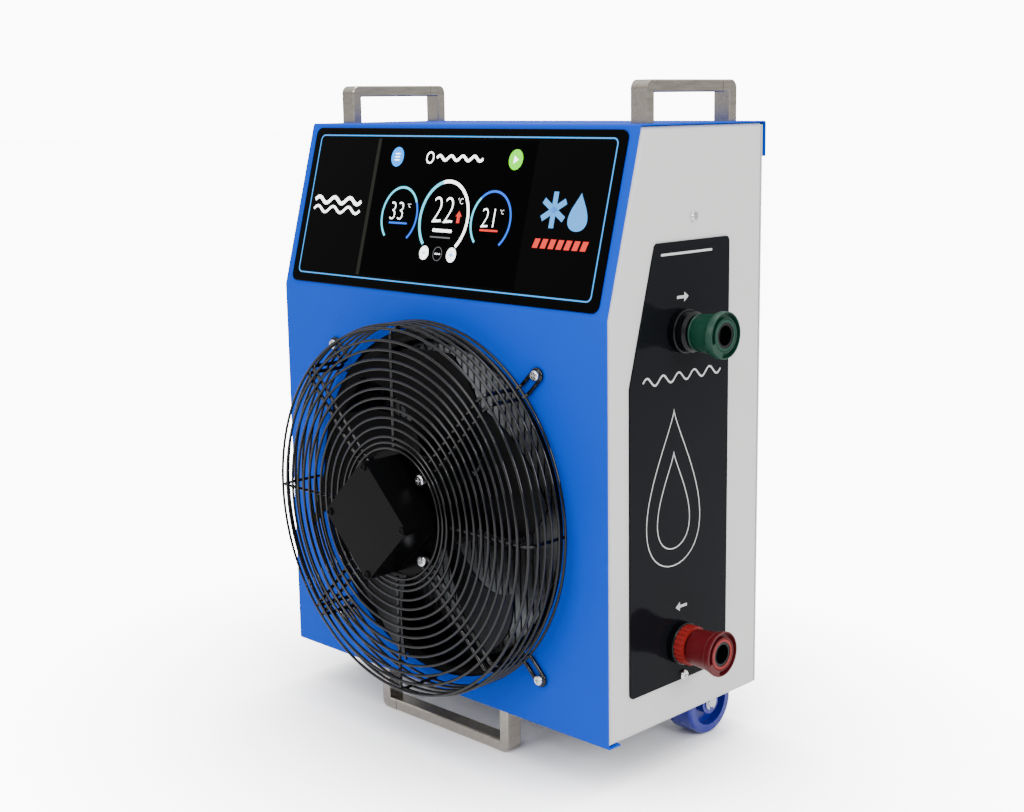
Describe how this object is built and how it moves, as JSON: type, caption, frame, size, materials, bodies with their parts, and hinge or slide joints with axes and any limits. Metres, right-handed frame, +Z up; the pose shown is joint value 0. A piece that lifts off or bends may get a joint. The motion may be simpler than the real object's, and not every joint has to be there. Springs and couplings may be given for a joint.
{
  "type": "portable water chiller",
  "caption": "Upright water chiller with a wire-guarded front fan, sloped touch display, two side hose couplings, carrying handles and two rear wheels",
  "frame": {"origin": "centre of the foot handle's flat underside, on the floor, at the middle of the width", "axes": "+X towards the side with the couplings, -Y out of the fan, +Z up"},
  "size_m": [0.5835, 0.3641, 0.734],
  "materials": {
    "casing_blue": "smooth powder coat",
    "casing_grey": "smooth powder coat",
    "inlay_black": "glossy",
    "inner_steel": "galvanised",
    "glass_black": "high gloss",
    "plastic_black": "satin",
    "metal_black": "semi gloss",
    "guard_black": "glossy",
    "handle_metal": "satin",
    "screw_steel": "bright",
    "screw_black": "satin",
    "wheel_blue": "glossy",
    "axle_steel": "satin",
    "coil_aluminium": "satin",
    "compressor_black": "semi gloss",
    "rubber_black": "matte",
    "plate_steel": "satin",
    "copper": "bright copper",
    "hose_rubber": "matte",
    "box_grey": "satin",
    "switch_red": "glossy",
    "coupling_black": "satin",
    "coupling_green": "semi gloss",
    "coupling_red": "semi gloss"
  },
  "bodies": {
    "casing": {"outer_wrap": "casing_blue", "side_panel_left": "casing_grey", "side_panel_right": "casing_grey", "side_inlay": "inlay_black", "rear_panel": "casing_grey", "base_tray": "inner_steel", "upper_shelf": "inner_steel", "display_glass": "glass_black", "display_module": "plastic_black", "fan_shroud": "metal_black", "coil_duct": "inner_steel", "side_screws": "screw_steel", "handle_left_grip": "handle_metal", "handle_left_front_leg": "handle_metal", "handle_left_rear_leg": "handle_metal", "handle_right_grip": "handle_metal", "handle_right_front_leg": "handle_metal", "handle_right_rear_leg": "handle_metal", "foot_grip": "handle_metal", "foot_left_leg": "handle_metal", "foot_right_leg": "handle_metal", "handle_screws": "screw_steel", "wheel_axle": "axle_steel", "axle_bracket_left": "inner_steel", "axle_bracket_right": "inner_steel", "axle_clips": "axle_steel", "fan_guard": "guard_black", "guard_screws": "screw_steel", "fan_motor": "metal_black", "motor_screws": "screw_steel", "terminal_box": "plastic_black", "terminal_lid": "plastic_black", "lid_screws": "screw_black", "condenser_coil": "coil_aluminium", "compressor": "compressor_black", "compressor_feet": "rubber_black", "evaporator": "plate_steel", "filter_drier": "copper", "discharge_pipe": "copper", "liquid_pipe": "copper", "capillary": "copper", "suction_pipe": "copper", "water_pump": "plastic_black", "hose_return": "hose_rubber", "hose_pump": "hose_rubber", "hose_supply": "hose_rubber", "control_box": "box_grey", "mains_inlet": "plastic_black", "coupling_green_body": "coupling_black", "coupling_red_body": "coupling_black", "coupling_red_collar": "coupling_red", "coupling_locknuts": "coupling_black"},
    "fan": {"fan_rotor": "metal_black"},
    "left_wheel": {"wheel_left": "wheel_blue"},
    "right_wheel": {"wheel_right": "wheel_blue"},
    "green_sleeve": {"coupling_green_sleeve": "coupling_green"},
    "green_valve": {"coupling_green_valve": "coupling_green"},
    "red_sleeve": {"coupling_red_sleeve": "coupling_red"},
    "red_valve": {"coupling_red_valve": "coupling_red"},
    "rocker": {"power_switch": "switch_red"}
  },
  "joints": [
    {"name": "fan_spin", "type": "hinge", "parent": "casing", "child": "fan", "pos_m": [0, -0.015, 0.27], "axis": [0, 1, 0], "continuous": true},
    {"name": "left_wheel_spin", "type": "hinge", "parent": "casing", "child": "left_wheel", "pos_m": [-0.217, 0.1885, 0.0375], "axis": [1, 0, 0], "continuous": true},
    {"name": "right_wheel_spin", "type": "hinge", "parent": "casing", "child": "right_wheel", "pos_m": [0.217, 0.1885, 0.0375], "axis": [1, 0, 0], "continuous": true},
    {"name": "green_release", "type": "slide", "parent": "casing", "child": "green_sleeve", "axis": [-1, 0, 0], "range_m": [0, 0.0025], "stiffness_N_per_m": 600},
    {"name": "green_valve_slide", "type": "slide", "parent": "casing", "child": "green_valve", "axis": [-1, 0, 0], "range_m": [0, 0.005], "stiffness_N_per_m": 400},
    {"name": "red_release", "type": "slide", "parent": "casing", "child": "red_sleeve", "axis": [-1, 0, 0], "range_m": [0, 0.0025], "stiffness_N_per_m": 600},
    {"name": "red_valve_slide", "type": "slide", "parent": "casing", "child": "red_valve", "axis": [-1, 0, 0], "range_m": [0, 0.005], "stiffness_N_per_m": 400},
    {"name": "rocker_tilt", "type": "hinge", "parent": "casing", "child": "rocker", "pos_m": [-0.19, 0.2405, 0.623], "axis": [1, 0, 0], "range_deg": [0, 14]}
  ]
}
